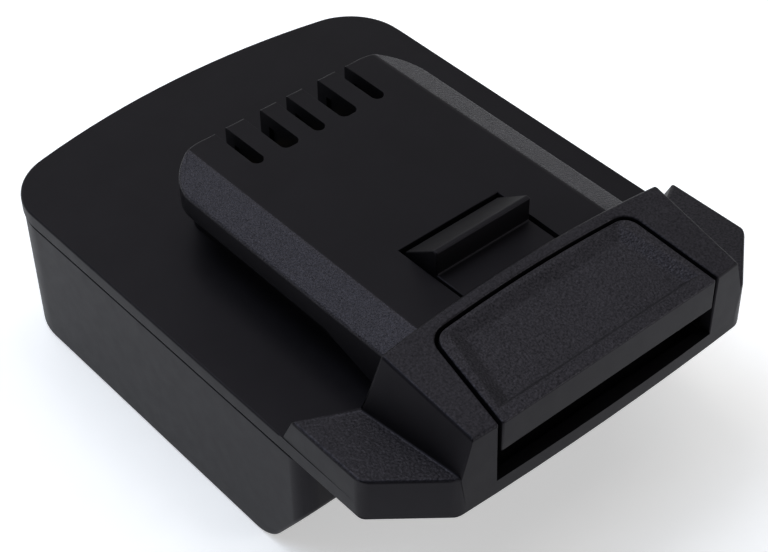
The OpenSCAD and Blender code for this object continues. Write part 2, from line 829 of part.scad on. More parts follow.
// Button cap: a skin along the crown's slope with skirts round the springs
module button_cap() {
    difference() {
        intersection() {
            translate([0, 0, button_skirt_z])
                linear_extrude(crown_z - button_skirt_z)
                    pocket_plan(button_gap, button_y);
            under_crown_slope(0);
        }
        translate([0, 0, button_skirt_z - past])
            linear_extrude(button_ceiling_z - button_skirt_z + past)
                pocket_plan(skirt_inset, button_y + button_t);
        translate([-pocket_w / 2, y_front - past, button_skirt_z - past])
            cube([pocket_w, button_t + 2 * past, button_front_z - button_skirt_z + past]);
        dish_cut();
    }
    for (side = [-1, 1])
        translate([side * spring_x, spring_place_y, button_ceiling_z - peg_l])
            cylinder(d = peg_d, h = peg_l + button_t / 2);
}

// Latch arm with its hook, from the side
module latch_arm() {
    neck_z = bridge_z - run_gap;
    dip_y = hook_opening_y + run_gap;
    root_y = pocket_y - button_gap - button_t / 2;
    along_x(hook_w)
        polygon([[hook_tail_y, arm_z], [hook_tail_y, latch_z],
                 [hook_y + hook_crest, rail_z + hook_h], [hook_y, rail_z + hook_h],
                 [hook_y, latch_z], [dip_y, latch_z], [dip_y, neck_z], [root_y, neck_z],
                 [root_y, arm_z]]);
}

module release_latch() {
    color("#303033") {
        button_cap();
        latch_arm();
    }
}

// Coil spring as one unbroken tube: 8 rings a turn, 6 sides
spring_rings_per_turn = 8;
spring_sides = 6;
spring_rings = spring_turns * spring_rings_per_turn;
spring_coil_r = (spring_d - spring_wire) / 2;
spring_rise = (spring_free_h - spring_wire) / spring_rings;
spring_ring_angle = 360 / spring_rings_per_turn;
spring_lead = atan2(spring_rise * spring_rings_per_turn, 2 * PI * spring_coil_r);

function spring_point(ring, side) =
    let (turn = ring * spring_ring_angle,
         around = side * 360 / spring_sides,
         out = [cos(turn), sin(turn), 0],
         tangent = [-sin(turn) * cos(spring_lead), cos(turn) * cos(spring_lead), sin(spring_lead)],
         middle = spring_coil_r * out + [0, 0, spring_wire / 2 + ring * spring_rise])
    middle + spring_wire / 2 * (cos(around) * out + sin(around) * cross(out, tangent));

spring_points = [
    for (ring = [0:spring_rings], side = [0:spring_sides - 1]) spring_point(ring, side)
];

function spring_index(ring, side) = ring * spring_sides + side % spring_sides;

spring_faces = concat(
    [[for (side = [0:spring_sides - 1]) side]],
    [for (ring = [0:spring_rings - 1], side = [0:spring_sides - 1], half = [0, 1])
        half == 0
            ? [spring_index(ring, side), spring_index(ring + 1, side), spring_index(ring, side + 1)]
            : [spring_index(ring, side + 1), spring_index(ring + 1, side),
               spring_index(ring + 1, side + 1)]],
    [[for (side = [spring_sides - 1:-1:0]) spring_index(spring_rings, side)]]
);

// Least gap between one turn and the next, measured on the tube's own points
spring_gap = min([
    for (ring = [0:spring_rings - spring_rings_per_turn], step = [-1:1])
        if (ring + spring_rings_per_turn + step <= spring_rings)
            for (a = [0:spring_sides - 1], b = [0:spring_sides - 1])
                norm(spring_points[spring_index(ring, a)]
                     - spring_points[spring_index(ring + spring_rings_per_turn + step, b)])
]);
echo(least_gap_between_spring_turns = spring_gap);

module latch_spring(side) {
    color("#b9bcc0")
        translate([side * spring_x, spring_place_y, shelf_z + seat_gap])
            polyhedron(spring_points, spring_faces, convexity = 10);
}

// Space for one clip in the terminal block, open above, below and to the rear
module clip_space(width) {
    space = width + 2 * (clip_t + seat_gap);
    translate([-space / 2, block_y + block_wall, board_top_z - past])
        cube([space, block_l, block_top_z - board_top_z + 2 * past]);
}

module tool_terminal_block() {
    color("#1d1d1f")
        difference() {
            translate([-block_w / 2, block_y, board_top_z])
                cube([block_w, block_l, block_top_z - board_top_z]);
            for (x = [-signal_x, 0, signal_x])
                translate([x, 0, 0])
                    clip_space(signal_slot_w);
            for (x = [-power_x, power_x])
                translate([x, 0, 0])
                    clip_space(power_slot_w);
        }
}

// Fork-shaped clip: a web and two leaves that pinch together and flare at the entry
module clip(x, slot_w) {
    half_w = slot_w / 2 + clip_t;
    y_start = block_y + block_wall + seat_gap;
    y_end = cavity_y - 2 * fit_gap;
    y_grip = y_start + clip_grip_share * (y_end - y_start);
    flare = half_w - clip_t;
    translate([x, 0, 0])
        color("#b08d57") {
            translate([-half_w, y_start, board_top_z])
                cube([2 * half_w, clip_t, clip_top_z - board_top_z]);
            mirrored_x()
                translate([0, 0, clip_foot_z])
                    linear_extrude(clip_top_z - clip_foot_z)
                        polygon([[half_w, y_start], [clip_grip / 2 + clip_t, y_grip],
                                 [flare + clip_t, y_end], [flare, y_end],
                                 [clip_grip / 2, y_grip], [half_w - clip_t, y_start]]);
        }
}

module positive_clip() {
    clip(power_x, power_slot_w);
}

module negative_clip() {
    clip(-power_x, power_slot_w);
}

module signal_clip_left() {
    clip(-signal_x, signal_slot_w);
}

module signal_clip_centre() {
    clip(0, signal_slot_w);
}

module signal_clip_right() {
    clip(signal_x, signal_slot_w);
}

module circuit_board() {
    color("#1f5c3a")
        difference() {
            translate([-board_w / 2, board_y, board_z])
                cube([board_w, board_l, board_t]);
            for (x = [-post_x, post_x])
                translate([x, post_ys[0], board_z - past])
                    cylinder(d = board_hole_d, h = board_t + 2 * past);
        }
}

// Resistor lying on the board in front of the terminal block
module id_resistor() {
    body_d = 2.4;
    body_l = 6.4;
    pitch = 10;
    wire_d = 0.6;
    y = (board_y + block_y) / 2;
    z = board_top_z + body_d / 2 + seat_gap;
    color("#c9b48a") {
        translate([-body_l / 2, y, z])
            rotate([0, 90, 0])
                cylinder(d = body_d, h = body_l);
        translate([-pitch / 2 - wire_d / 2, y, z])
            rotate([0, 90, 0])
                cylinder(d = wire_d, h = pitch + wire_d);
        for (side = [-1, 1])
            translate([side * pitch / 2, y, board_top_z])
                cylinder(d = wire_d, h = z - board_top_z);
    }
}

// Screw with a pan head, standing on its seat at z = 0 with the shank up
module screw(d, head_d, head_h, length) {
    rotate_extrude()
        polygon([[0, -head_h], [head_d / 2 - head_h / 2, -head_h], [head_d / 2, -head_h / 2],
                 [head_d / 2, 0], [d / 2, 0], [d / 2, length - d / 2], [d / 6, length],
                 [0, length]]);
}

module board_screws() {
    color("#8f9296")
        for (x = [-post_x, post_x])
            translate([x, post_ys[0], board_top_z])
                rotate([180, 0, 0])
                    screw(board_screw_d, board_screw_head_d, board_screw_head_h, board_screw_l);
}

module housing_screws() {
    color("#7d8084")
        for (place = screw_places)
            translate([place[0], place[1], screw_seat])
                screw(screw_d, screw_head_d, screw_head_h, screw_l);
}

// Blade carrier: two flanges that lap the end wall, and slits for the blades
module battery_terminal_block() {
    color("#1d1d1f")
        difference() {
            translate([0, 0, carrier_z]) {
                translate([-carrier_w / 2, carrier_front_y, 0])
                    cube([carrier_w, carrier_front_t, carrier_h]);
                translate([-carrier_waist_w / 2, carrier_front_y, 0])
                    cube([carrier_waist_w, carrier_rear_y - carrier_front_y, carrier_h]);
                translate([-carrier_w / 2, carrier_rear_y - carrier_rear_t, 0])
                    cube([carrier_w, carrier_rear_t, carrier_h]);
            }
            for (x = [-blade_x, blade_x])
                blade_slit(x, blade_h);
            blade_slit(0, signal_blade_h);
        }
}

module blade_slit(x, height) {
    slit_t = blade_t + 2 * seat_gap;
    slit_h = height + 2 * seat_gap;
    translate([x - slit_t / 2, carrier_front_y - past, blade_z - slit_h / 2])
        cube([slit_t, carrier_rear_y - carrier_front_y + 2 * past, slit_h]);
}

// Flat blade with a tapered tip
module blade(x, height) {
    y_tip = carrier_front_y - blade_l;
    y_full = y_tip + blade_tip_l;
    color("#c8a45c")
        translate([x, 0, blade_z - height / 2])
            linear_extrude(height)
                polygon([[-blade_tip_t / 2, y_tip], [blade_tip_t / 2, y_tip], [blade_t / 2, y_full],
                         [blade_t / 2, tail_y], [-blade_t / 2, tail_y], [-blade_t / 2, y_full]]);
}

module positive_blade() {
    blade(blade_x, blade_h);
}

module negative_blade() {
    blade(-blade_x, blade_h);
}

module signal_blade() {
    blade(0, signal_blade_h);
}

// Lead from a blade's tail up, forward over the deck, and up to the board's underside
module lead(x, d) {
    run_z = deck_z + fit_gap + d / 2;
    bend_r = lead_bend_r;
    foot_z = blade_z - blade_h / 4;
    end_y = board_y + board_l - bend_r;
    translate([x, 0, 0]) {
        translate([0, lead_rise_y, foot_z])
            cylinder(d = d, h = run_z - bend_r - foot_z);
        translate([0, lead_rise_y - bend_r, run_z - bend_r])
            quarter_bend(d, bend_r, 0);
        translate([0, lead_rise_y - bend_r, run_z])
            rotate([90, 0, 0])
                cylinder(d = d, h = lead_rise_y - end_y - 2 * bend_r);
        translate([0, end_y + bend_r, run_z + bend_r])
            quarter_bend(d, bend_r, 180);
        translate([0, end_y, run_z + bend_r])
            cylinder(d = d, h = board_z - seat_gap - run_z - bend_r);
    }
}

// Quarter of a ring in the Y and Z plane, turned from +Y towards +Z
module quarter_bend(d, bend_r, turn) {
    rotate([turn, 0, 0])
        rotate([90, 0, 90])
            rotate_extrude(angle = 90)
                translate([bend_r, 0])
                    circle(d = d);
}

module positive_lead() {
    color("#a02420")
        lead(blade_x + blade_t / 2 + seat_gap + lead_d / 2, lead_d);
}

module negative_lead() {
    color("#202022")
        lead(-blade_x - blade_t / 2 - seat_gap - lead_d / 2, lead_d);
}

module signal_lead() {
    color("#d8d4c8")
        lead(blade_t / 2 + seat_gap + signal_lead_d / 2, signal_lead_d);
}

upper_cover();
lower_housing();
release_latch();
latch_spring(-1);  // latch_spring_left
latch_spring(1);  // latch_spring_right
tool_terminal_block();
positive_clip();
negative_clip();
signal_clip_left();
signal_clip_centre();
signal_clip_right();
circuit_board();
id_resistor();
board_screws();
battery_terminal_block();
positive_blade();
negative_blade();
signal_blade();
positive_lead();
negative_lead();
signal_lead();
housing_screws();
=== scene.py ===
"""Looks of a tool battery adapter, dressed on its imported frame.

Metres, +Z up. The release button is at -Y and the tool slides on from +Y.
Places and radii on the mouldings are named in millimetres, as on a drawing.
"""
import math

import bmesh
import bpy
from mathutils import Matrix, Vector


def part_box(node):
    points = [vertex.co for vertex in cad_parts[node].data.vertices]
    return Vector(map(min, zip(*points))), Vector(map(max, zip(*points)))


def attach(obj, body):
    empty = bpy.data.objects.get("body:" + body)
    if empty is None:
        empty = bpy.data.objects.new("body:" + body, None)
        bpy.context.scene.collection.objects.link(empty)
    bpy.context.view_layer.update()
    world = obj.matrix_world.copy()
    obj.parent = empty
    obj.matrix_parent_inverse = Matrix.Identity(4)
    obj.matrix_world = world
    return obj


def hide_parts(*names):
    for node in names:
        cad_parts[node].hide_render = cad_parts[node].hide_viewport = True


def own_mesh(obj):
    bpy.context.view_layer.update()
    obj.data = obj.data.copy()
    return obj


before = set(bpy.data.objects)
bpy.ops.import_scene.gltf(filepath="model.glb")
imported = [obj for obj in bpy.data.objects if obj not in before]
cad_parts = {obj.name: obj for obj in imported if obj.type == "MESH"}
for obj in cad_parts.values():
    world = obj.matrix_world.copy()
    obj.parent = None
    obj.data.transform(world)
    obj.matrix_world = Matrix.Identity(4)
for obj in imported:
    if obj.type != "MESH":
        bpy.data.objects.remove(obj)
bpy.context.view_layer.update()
MM = 0.001

# Heights on the mouldings, in millimetres
LIP_Z = 5.2
FRONT_FOOT_Z = 12.9
DECK_Z = 14.5
SEAM_STEP_Z = 23.7
PARTING_Z = 24.2
PLATE_Z = 26.9
WING_Z = 31.85
BUTTON_FOOT_Z = 32.46
FLANGE_Z = 33.4
FLANGE_TOP_Z = 37.3
CROWN_FRONT_Z = 37.96
LATCH_PLATE_Z = 39.3
RAIL_Z = 39.5
CROWN_Z = 41.6

# Places along the adapter, in millimetres
NOSE_FRONT_Y = -51.4
WING_TIP_Y = -48.5
NOSE_CUT_Y = -42.35
WING_CORNERS_Y = -40.0
POCKET_Y = -34.1
CROWN_Y = -32.1
CROWN_FOOT_Y = -31.79
NOSE_MIDDLE_Y = -31.4
CASE_FRONT_Y = -29.4
WING_FOOT_Y = -25.0
PLATE_TAPER_Y = (-20, -21.5, -23)
RECEIVER_Y = -20.3
HOOK_OPENING_Y = -17.0
SLOT_FRONT_Y = 11.0
RAIL_REAR_Y = 21.4
MOUTH_END_Y = 30.0

# Half widths, in millimetres
HOOK_OPENING_X = 9.7
SLOTS_X = 13.2
RAIL_TOP_X = 18.575
NECK_X = 20.4
POCKET_X = 21.4
FLANGE_X = 24.0
MOUTH_X = 24.0
NOSE_CORNER_X = 27.5
RECEIVER_WALL_X = 31.0
PLATE_X = 38.0

# Step from the plate in to the wings, as packed and as left along the sides, in millimetres
WING_STEP = 0.25
WING_LEDGE = 0.1

# Radii of the bowed edges seen from above, in millimetres
CREST_BOW_R = 240.0
POCKET_BOW_R = 260.0

CROWN_FALL = (CROWN_Z - CROWN_FRONT_Z) / (CROWN_Y - NOSE_FRONT_Y)
DISH_DEPTH = 0.7

# How close to a place its edges and faces lie, in millimetres
TOUCH = 0.06
CROWN_TOP_BAND = 0.5
BUTTON_FRONT_BAND = 0.6
NOSE_FRONT_BAND = 0.8
MARGIN = 1.0
DISH_FRONT_BAND = 3.0
FRONT_SLOPE_BAND = 4.0

# Least bend of an edge that is rounded, in degrees
SHARP_BEND = 12
BLADE_BEND = 40

# Limits of the share of a unit normal or direction along an axis
TILTED = 0.5
BUTTON_FACES_UP = 0.6
COVER_FACES_UP = 0.8
ALONG_X = 0.9
ALONG_Z = 0.95
LEVEL = 0.99

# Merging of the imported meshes, rounding, and smooth shading by angle in degrees
MERGE_GAP = 0.002 * MM
STEP_MERGE_GAP = 0.02 * MM
FLAT_ANGLE = math.radians(0.3)
ROUND_SEGMENTS = 3
MOULDING_SMOOTH = 32
SCREW_SMOOTH = 35
WIRE_SMOOTH = 50


def crown_top(y):
    """Height of the crown's sloped top over a place along the adapter, in millimetres."""
    return CROWN_Z + CROWN_FALL * (y - CROWN_Y)


def bowed(y, radius, x):
    """Place along the adapter of a bowed edge whose middle is at y, in millimetres."""
    return y - radius + math.sqrt(radius * radius - x * x)


def near(a, b):
    return abs(a - b) < TOUCH


# Modelling helpers

def deselect_all():
    if bpy.context.object and bpy.context.object.mode != "OBJECT":
        bpy.ops.object.mode_set(mode="OBJECT")
    bpy.ops.object.select_all(action="DESELECT")


def take_up(piece):
    """Makes a piece the one selected, active object."""
    deselect_all()
    piece.select_set(True)
    bpy.context.view_layer.objects.active = piece


def apply_modifier(piece, name, kind, **settings):
    take_up(piece)
    modifier = piece.modifiers.new(name, kind)
    for key, value in settings.items():
        setattr(modifier, key, value)
    bpy.ops.object.modifier_apply(modifier=modifier.name)


def settle(piece, name):
    """Names a modelled piece and puts its place, turn and scale into its mesh."""
    take_up(piece)
    piece.name = name
    piece.data.name = name
    bpy.ops.object.transform_apply(location=True, rotation=True, scale=True)


def working_copy(node, name):
    """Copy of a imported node's mesh, merged, with its flat faces joined."""
    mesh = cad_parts[node].data.copy()
    mesh.name = name
    mesh.materials.clear()
    piece = bpy.data.objects.new(name, mesh)
    bpy.context.scene.collection.objects.link(piece)
    take_up(piece)
    bpy.ops.mesh.customdata_custom_splitnormals_clear()
    bpy.ops.object.mode_set(mode="EDIT")
    bpy.ops.mesh.select_all(action="SELECT")
    bpy.ops.mesh.remove_doubles(threshold=MERGE_GAP)
    bpy.ops.mesh.dissolve_limited(angle_limit=FLAT_ANGLE)
    bpy.ops.object.mode_set(mode="OBJECT")
    return piece


def split_across(piece, y):
    """Splits a piece's faces and edges at a place along the adapter, in millimetres."""
    take_up(piece)
    bpy.ops.object.mode_set(mode="EDIT")
    bpy.ops.mesh.select_all(action="SELECT")
    bpy.ops.mesh.bisect(plane_co=(0, y * MM, 0), plane_no=(0, 1, 0))
    bpy.ops.object.mode_set(mode="OBJECT")


class Edge:
    """What a rounding rule asks of an edge, in millimetres; bend is positive over an outer edge."""

    def __init__(self, edge):
        self.mid = (edge.verts[0].co + edge.verts[1].co) / (2 * MM)
        self.along = (edge.verts[1].co - edge.verts[0].co).normalized()
        self.bend = math.degrees(edge.calc_face_angle_signed(0.0))
        self.normals = [face.normal.copy() for face in edge.link_faces]

    def faces_out(self):
        """True if an upright face of the edge looks away from the adapter's middle."""
        middle = Vector((0.0, max(min(self.mid.y, RECEIVER_Y), NOSE_MIDDLE_Y), 0.0))
        away = self.mid - middle
        return any(abs(n.z) < TILTED and n.x * away.x + n.y * away.y > 0 for n in self.normals)


def round_edges(piece, rule, largest):
    """Rounds each edge by the radius that the rule gives it, in millimetres, up to the largest."""
    take_up(piece)
    bpy.ops.object.mode_set(mode="EDIT")
    mesh = bmesh.from_edit_mesh(piece.data)
    weight = mesh.edges.layers.float.new("bevel_weight_edge")
    for edge in mesh.edges:
        if len(edge.link_faces) == 2:
            edge[weight] = rule(Edge(edge)) / largest
    bmesh.update_edit_mesh(piece.data)
    bpy.ops.object.mode_set(mode="OBJECT")
    apply_modifier(piece, "Edges", "BEVEL", width=largest * MM, segments=ROUND_SEGMENTS,
                   limit_method="WEIGHT", use_clamp_overlap=False, loop_slide=True)


def smooth(piece, angle):
    take_up(piece)
    bpy.ops.object.shade_smooth_by_angle(angle=math.radians(angle))
    apply_modifier(piece, "Shading", "WEIGHTED_NORMAL", keep_sharp=True)


def finish_faces(piece, materials, choose):
    """Gives each face the material that choose picks by the face's middle and normal."""
    for material in materials:
        piece.data.materials.append(material)
    for face in piece.data.polygons:
        face.material_index = choose(face.center / MM, face.normal)


def dress(piece, body, slot, *nodes):
    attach(piece, body)
    if nodes:
        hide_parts(*nodes)


# Materials

SMOOTH_BLACK = (0.0039, 0.0036, 0.0043)
GRAIN_BLACK = (0.0073, 0.0069, 0.0082)
INNER_BLACK = (0.004, 0.0038, 0.0043)
SHEEN_TINT = (0.9, 0.845, 1.0, 1)

# Unevenness of the black mouldings: sizes and depth in millimetres
CLOUD_SIZE = 9.0
CLOUD_CONTRAST = 0.15
SHEEN_SIZE = 2.5
SHEEN_SPREAD = 0.02
WAVE_SIZE = 6.0
WAVE_DEPTH = 0.004
GLINT_SHARE = 0.8

# Lines and stains of the metals: sizes and depth in millimetres
LINE_SIZE = 0.35
LINE_DEPTH = 0.003
LINE_SPREAD = 0.07
STAIN_SIZE = 1.6

# Range that noise seldom leaves
NOISE_LOW = 0.3
NOISE_HIGH = 0.7

# Resistor body in millimetres, and board weave per millimetre
RESISTOR_HALF_L = 3.2
WEAVE_SCALE = 0.6


def new_material(name):
    material = bpy.data.materials.new(name)
    material.use_nodes = True
    return material, material.node_tree, material.node_tree.nodes["Principled BSDF"]


def add_node(tree, kind, **settings):
    node = tree.nodes.new(kind)
    for key, value in settings.items():
        setattr(node, key, value)
    return node


def object_coordinates(tree, stretch=(1, 1, 1)):
    coordinates = add_node(tree, "ShaderNodeTexCoord")
    mapping = add_node(tree, "ShaderNodeMapping")
    mapping.inputs["Scale"].default_value = stretch
    tree.links.new(coordinates.outputs["Object"], mapping.inputs["Vector"])
    return mapping.outputs["Vector"]


def noise(tree, vector, size, detail=2.0):
    """Noise whose blobs are about size millimetres across."""
    texture = add_node(tree, "ShaderNodeTexNoise")
    texture.inputs["Scale"].default_value = 1 / (size * MM)
    texture.inputs["Detail"].default_value = detail
    tree.links.new(vector, texture.inputs["Vector"])
    return texture.outputs["Fac"]


def tones(tree, value, stops):
    """Colours by the places of a 0 to 1 pattern."""
    ramp = add_node(tree, "ShaderNodeValToRGB")
    elements = ramp.color_ramp.elements
    while len(elements) < len(stops):
        elements.new(0.5)
    for element, (place, colour) in zip(elements, stops):
        element.position = place
        element.color = (*colour, 1)
    tree.links.new(value, ramp.inputs["Fac"])
    return ramp.outputs["Color"]


def spread(tree, value, low, high):
    """Turns a 0 to 1 pattern into a range of values."""
    ranged = add_node(tree, "ShaderNodeMapRange")
    ranged.inputs["From Min"].default_value = NOISE_LOW
    ranged.inputs["From Max"].default_value = NOISE_HIGH
    ranged.inputs["To Min"].default_value = low
    ranged.inputs["To Max"].default_value = high
    tree.links.new(value, ranged.inputs["Value"])
    return ranged.outputs["Result"]


def bump(tree, height, depth, before=None):
    """Relief of so many millimetres from a 0 to 1 pattern."""
    relief = add_node(tree, "ShaderNodeBump")
    relief.inputs["Distance"].default_value = depth * MM
    tree.links.new(height, relief.inputs["Height"])
    if before:
        tree.links.new(before, relief.inputs["Normal"])
    return relief.outputs["Normal"]


def black_moulding(name, tone, rough, shine, grain_size, grain_depth, speckle=0.0):
    """Black moulded plastic: faint cloudy tone, uneven sheen, spark-eroded grain and its glints."""
    material, tree, shader = new_material(name)
    vector = object_coordinates(tree)
    cloud = noise(tree, vector, CLOUD_SIZE, detail=3.0)
    dark = [(1 - CLOUD_CONTRAST) * c for c in tone]
    light = [(1 + CLOUD_CONTRAST) * c for c in tone]
    tree.links.new(tones(tree, cloud, [(0.35, dark), (0.65, light)]), shader.inputs["Base Color"])
    sheen = noise(tree, vector, SHEEN_SIZE, detail=4.0)
    sheen = spread(tree, sheen, rough - SHEEN_SPREAD, rough + SHEEN_SPREAD)
    tree.links.new(sheen, shader.inputs["Roughness"])
    waves = bump(tree, noise(tree, vector, WAVE_SIZE, detail=1.0), WAVE_DEPTH)
    grain = noise(tree, vector, grain_size, detail=1.5)
    tree.links.new(bump(tree, grain, grain_depth, waves), shader.inputs["Normal"])
    shader.inputs["Specular Tint"].default_value = SHEEN_TINT
    shader.inputs["Specular IOR Level"].default_value = shine
    if speckle:
        glints = noise(tree, vector, GLINT_SHARE * grain_size, detail=2.0)
        glints = spread(tree, glints, (1 - speckle) * shine, (1 + speckle) * shine)
        tree.links.new(glints, shader.inputs["Specular IOR Level"])
    return material


def metal(name, light, dark, rough, stretch=(1, 1, 1)):
    """Plated or drawn metal: fine lines along one direction, stained in patches."""
    material, tree, shader = new_material(name)
    lines = noise(tree, object_coordinates(tree, stretch), LINE_SIZE, detail=3.0)
    stain = noise(tree, object_coordinates(tree), STAIN_SIZE, detail=3.0)
    tree.links.new(tones(tree, stain, [(0.3, dark), (0.6, light)]), shader.inputs["Base Color"])
    sheen = spread(tree, lines, rough - LINE_SPREAD, rough + LINE_SPREAD)
    tree.links.new(sheen, shader.inputs["Roughness"])
    tree.links.new(bump(tree, lines, LINE_DEPTH), shader.inputs["Normal"])
    shader.inputs["Metallic"].default_value = 1.0
    return material


def solder_mask():
    """Green board lacquer with the weave of the laminate under it."""
    material, tree, shader = new_material("solder_mask")
    vector = object_coordinates(tree)
    weave = add_node(tree, "ShaderNodeTexWave", wave_type="BANDS", bands_direction="DIAGONAL")
    weave.inputs["Scale"].default_value = WEAVE_SCALE / MM
    weave.inputs["Distortion"].default_value = 1.5
    tree.links.new(vector, weave.inputs["Vector"])
    colours = [(0.0, (0.012, 0.09, 0.04)), (1.0, (0.02, 0.14, 0.06))]
    tree.links.new(tones(tree, weave.outputs["Fac"], colours), shader.inputs["Base Color"])
    tree.links.new(bump(tree, weave.outputs["Fac"], 0.01), shader.inputs["Normal"])
    shader.inputs["Roughness"].default_value = 0.3
    return material


def resistor_lacquer():
    """Tan lacquer with plain colour bands across the body."""
    material, tree, shader = new_material("resistor_lacquer")
    vector = object_coordinates(tree)
    across = add_node(tree, "ShaderNodeSeparateXYZ")
    tree.links.new(vector, across.inputs["Vector"])
    place = add_node(tree, "ShaderNodeMapRange")
    place.inputs["From Min"].default_value = -RESISTOR_HALF_L * MM
    place.inputs["From Max"].default_value = RESISTOR_HALF_L * MM
    tree.links.new(across.outputs["X"], place.inputs["Value"])
    tan = (0.5, 0.36, 0.2)
    brown = (0.12, 0.04, 0.015)
    black = (0.01, 0.01, 0.01)
    orange = (0.6, 0.18, 0.02)
    bands = tones(tree, place.outputs["Result"], [
        (0.0, tan), (0.2, brown), (0.28, tan), (0.4, black),
        (0.48, tan), (0.6, orange), (0.68, tan)])
    bands.node.color_ramp.interpolation = "CONSTANT"
    tree.links.new(bands, shader.inputs["Base Color"])
    tree.links.new(bump(tree, noise(tree, vector, 0.8), 0.02), shader.inputs["Normal"])
    shader.inputs["Roughness"].default_value = 0.28
    return material


def lead_skin(name, colour):
    """Soft silicone insulation with a dusty bloom."""
    material, tree, shader = new_material(name)
    vector = object_coordinates(tree)
    bloom = noise(tree, vector, 1.2, detail=4.0)
    dull = [0.7 * c + 0.02 for c in colour]
    tree.links.new(tones(tree, bloom, [(0.35, colour), (0.75, dull)]), shader.inputs["Base Color"])
    tree.links.new(bump(tree, noise(tree, vector, 0.3), 0.01), shader.inputs["Normal"])
    shader.inputs["Roughness"].default_value = 0.55
    return material


def floor_paper():
    """Seamless white paper."""
    material, tree, shader = new_material("floor_paper")
    fibre = noise(tree, object_coordinates(tree), 4.0, detail=4.0)
    colours = [(0.3, (0.9, 0.9, 0.905)), (0.7, (0.93, 0.93, 0.935))]
    tree.links.new(tones(tree, fibre, colours), shader.inputs["Base Color"])
    shader.inputs["Roughness"].default_value = 0.9
    shader.inputs["Specular IOR Level"].default_value = 0.1
    shader.inputs["Emission Color"].default_value = (1, 1, 1, 1)
    shader.inputs["Emission Strength"].default_value = 0.45
    return material


smooth_moulding = black_moulding("smooth_moulding", SMOOTH_BLACK, rough=0.47, shine=0.136,
                                 grain_size=0.22, grain_depth=0.006)
grained_moulding = black_moulding("grained_moulding", GRAIN_BLACK, rough=0.46, shine=0.235,
                                  grain_size=0.42, grain_depth=0.08, speckle=0.45)
bevel_moulding = black_moulding("bevel_moulding", GRAIN_BLACK, rough=0.46, shine=0.325,
                                grain_size=0.28, grain_depth=0.15, speckle=0.42)
button_moulding = black_moulding("button_moulding", GRAIN_BLACK, rough=0.48, shine=0.295,
                                 grain_size=0.38, grain_depth=0.11, speckle=0.55)
inner_moulding = black_moulding("inner_moulding", INNER_BLACK, rough=0.5, shine=0.15,
                                grain_size=0.25, grain_depth=0.006)


# Cover: plate, tool rail, crown and wings; its edge radii in millimetres

CREST_R = 0.6
CROWN_TOP_R = 0.45
CROWN_SIDE_R = 0.5
POCKET_RIM_R = 0.3
POCKET_FRONT_R = 0.3
WING_R = 0.5
WING_CREASE_R = 0.35
WING_CORNER_R = 1.3
PARTING_R = 0.25
PLATE_R = 0.45
PLATE_R_GROWTH = 0.09
OPENING_R = 0.15
RAIL_TOP_R = 0.5
RAIL_SIDE_R = 0.45
FLANGE_R = 0.3


def crown_radius(x, y, z):
    """Rounding of the crown's own edges, in front of the foot of its rear wall."""
    in_pocket = x < POCKET_X + TOUCH and y < bowed(POCKET_Y, POCKET_BOW_R, x) + TOUCH
    if abs(z - crown_top(y)) < TOUCH:
        if in_pocket and y > NOSE_FRONT_Y + NOSE_FRONT_BAND:
            return POCKET_RIM_R
        return CREST_R if near(y, bowed(CROWN_Y, CREST_BOW_R, x)) else CROWN_TOP_R
    if x > FLANGE_X + TOUCH:
        return CROWN_SIDE_R
    return POCKET_FRONT_R if y < NOSE_FRONT_Y + NOSE_FRONT_BAND and z > PLATE_Z else 0


def cover_radius(edge):
    x, y, z = abs(edge.mid.x), edge.mid.y, edge.mid.z
    in_pocket = x < POCKET_X + TOUCH and y < POCKET_Y + TOUCH
    upright = abs(edge.along.z) > ALONG_Z
    if edge.bend < -SHARP_BEND:
        return WING_CREASE_R if near(z, WING_Z) and y < WING_FOOT_Y else 0
    if edge.bend < SHARP_BEND:
        return 0
    if near(z, PARTING_Z):
        return PARTING_R if edge.faces_out() else 0
    if near(z, PLATE_Z):
        if not edge.faces_out():
            return 0
        return max(0, min(PLATE_R, PLATE_R_GROWTH * (y - WING_FOOT_Y)))
    if upright and z < WING_Z + MARGIN and x > NOSE_CORNER_X and y < WING_CORNERS_Y:
        return WING_CORNER_R
    if near(z, WING_Z):
        return 0 if in_pocket else WING_R
    if PLATE_Z < z < WING_Z and x > NOSE_CORNER_X:
        return WING_R
    if y < bowed(CROWN_Y, CREST_BOW_R, x) + TOUCH or x > FLANGE_X + TOUCH:
        return crown_radius(x, y, z)
    if near(z, RAIL_Z):
        if x < SLOTS_X and SLOT_FRONT_Y - MARGIN < y < RAIL_REAR_Y - TOUCH:
            return OPENING_R
        if x < HOOK_OPENING_X + TOUCH and y < HOOK_OPENING_Y:
            return OPENING_R if y > CROWN_FOOT_Y + MARGIN else 0
        return RAIL_TOP_R
    if z > FLANGE_TOP_Z - TOUCH and (x > RAIL_TOP_X or y > RAIL_REAR_Y - TOUCH) and x > SLOTS_X:
        return RAIL_SIDE_R
    if near(z, FLANGE_Z):
        return FLANGE_R if x > NECK_X else 0
    return 0


def cover_finish(middle, normal):
    """0 is smooth, 1 the grain of the crown's and the wings' tops, 2 that of the rail's bevels."""
    x, y, z = abs(middle.x), middle.y, middle.z
    if normal.z < COVER_FACES_UP or z < PLATE_Z + MARGIN:
        return 0
    on_wing = near(z, WING_Z) and x > POCKET_X
    on_crown = y < bowed(CROWN_Y, CREST_BOW_R, x) and abs(z - crown_top(y)) < CROWN_TOP_BAND
    on_bevel = RAIL_TOP_X < x < FLANGE_X and FLANGE_TOP_Z < z < RAIL_Z and y > POCKET_Y
    return 2 if on_bevel else 1 if on_wing or on_crown else 0


